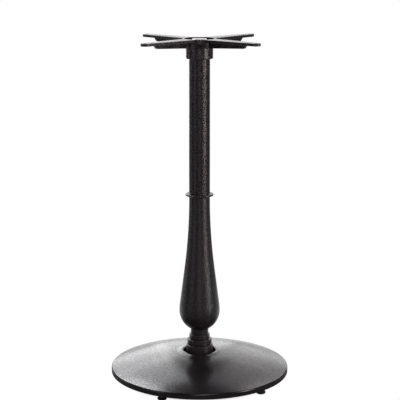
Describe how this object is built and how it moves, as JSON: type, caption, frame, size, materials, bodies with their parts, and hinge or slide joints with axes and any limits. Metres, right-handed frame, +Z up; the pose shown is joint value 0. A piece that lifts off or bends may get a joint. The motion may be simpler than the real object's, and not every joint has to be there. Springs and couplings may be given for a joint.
{
  "type": "pedestal table base",
  "caption": "Round pedestal table base at bar height: a domed iron foot, a turned-style cast column, a steel tube and a ribbed cross for the table top",
  "frame": {"origin": "on the floor under the column's axis", "axes": "+Z up the column, the four arms point to the diagonals of X and Y, and the picture looks along +Y"},
  "size_m": [0.55, 0.55, 1.05],
  "materials": {
    "black_iron": "satin black powder coat with a fine grain over the cast skin",
    "textured_tube": "coarse hammered black powder coat",
    "plated_steel": "bright zinc plate",
    "glide_plastic": "moulded, matt"
  },
  "bodies": {
    "stand": {"base_casting": "black_iron", "lower_column": "black_iron", "upper_tube": "textured_tube", "spider": "black_iron", "tie_rod": "plated_steel", "rod_cap_nut": "plated_steel", "base_washer": "plated_steel", "base_nut": "plated_steel"},
    "glide_1": {"glide_stud_1": "plated_steel", "glide_pad_1": "glide_plastic"},
    "glide_2": {"glide_stud_2": "plated_steel", "glide_pad_2": "glide_plastic"},
    "glide_3": {"glide_stud_3": "plated_steel", "glide_pad_3": "glide_plastic"},
    "glide_4": {"glide_stud_4": "plated_steel", "glide_pad_4": "glide_plastic"},
    "glide_5": {"glide_stud_5": "plated_steel", "glide_pad_5": "glide_plastic"}
  },
  "joints": [
    {"name": "glide_1_height", "type": "slide", "parent": "stand", "child": "glide_1", "axis": [0, 0, -1], "range_m": [0, 0.008]},
    {"name": "glide_2_height", "type": "slide", "parent": "stand", "child": "glide_2", "axis": [0, 0, -1], "range_m": [0, 0.008]},
    {"name": "glide_3_height", "type": "slide", "parent": "stand", "child": "glide_3", "axis": [0, 0, -1], "range_m": [0, 0.008]},
    {"name": "glide_4_height", "type": "slide", "parent": "stand", "child": "glide_4", "axis": [0, 0, -1], "range_m": [0, 0.008]},
    {"name": "glide_5_height", "type": "slide", "parent": "stand", "child": "glide_5", "axis": [0, 0, -1], "range_m": [0, 0.008]}
  ]
}
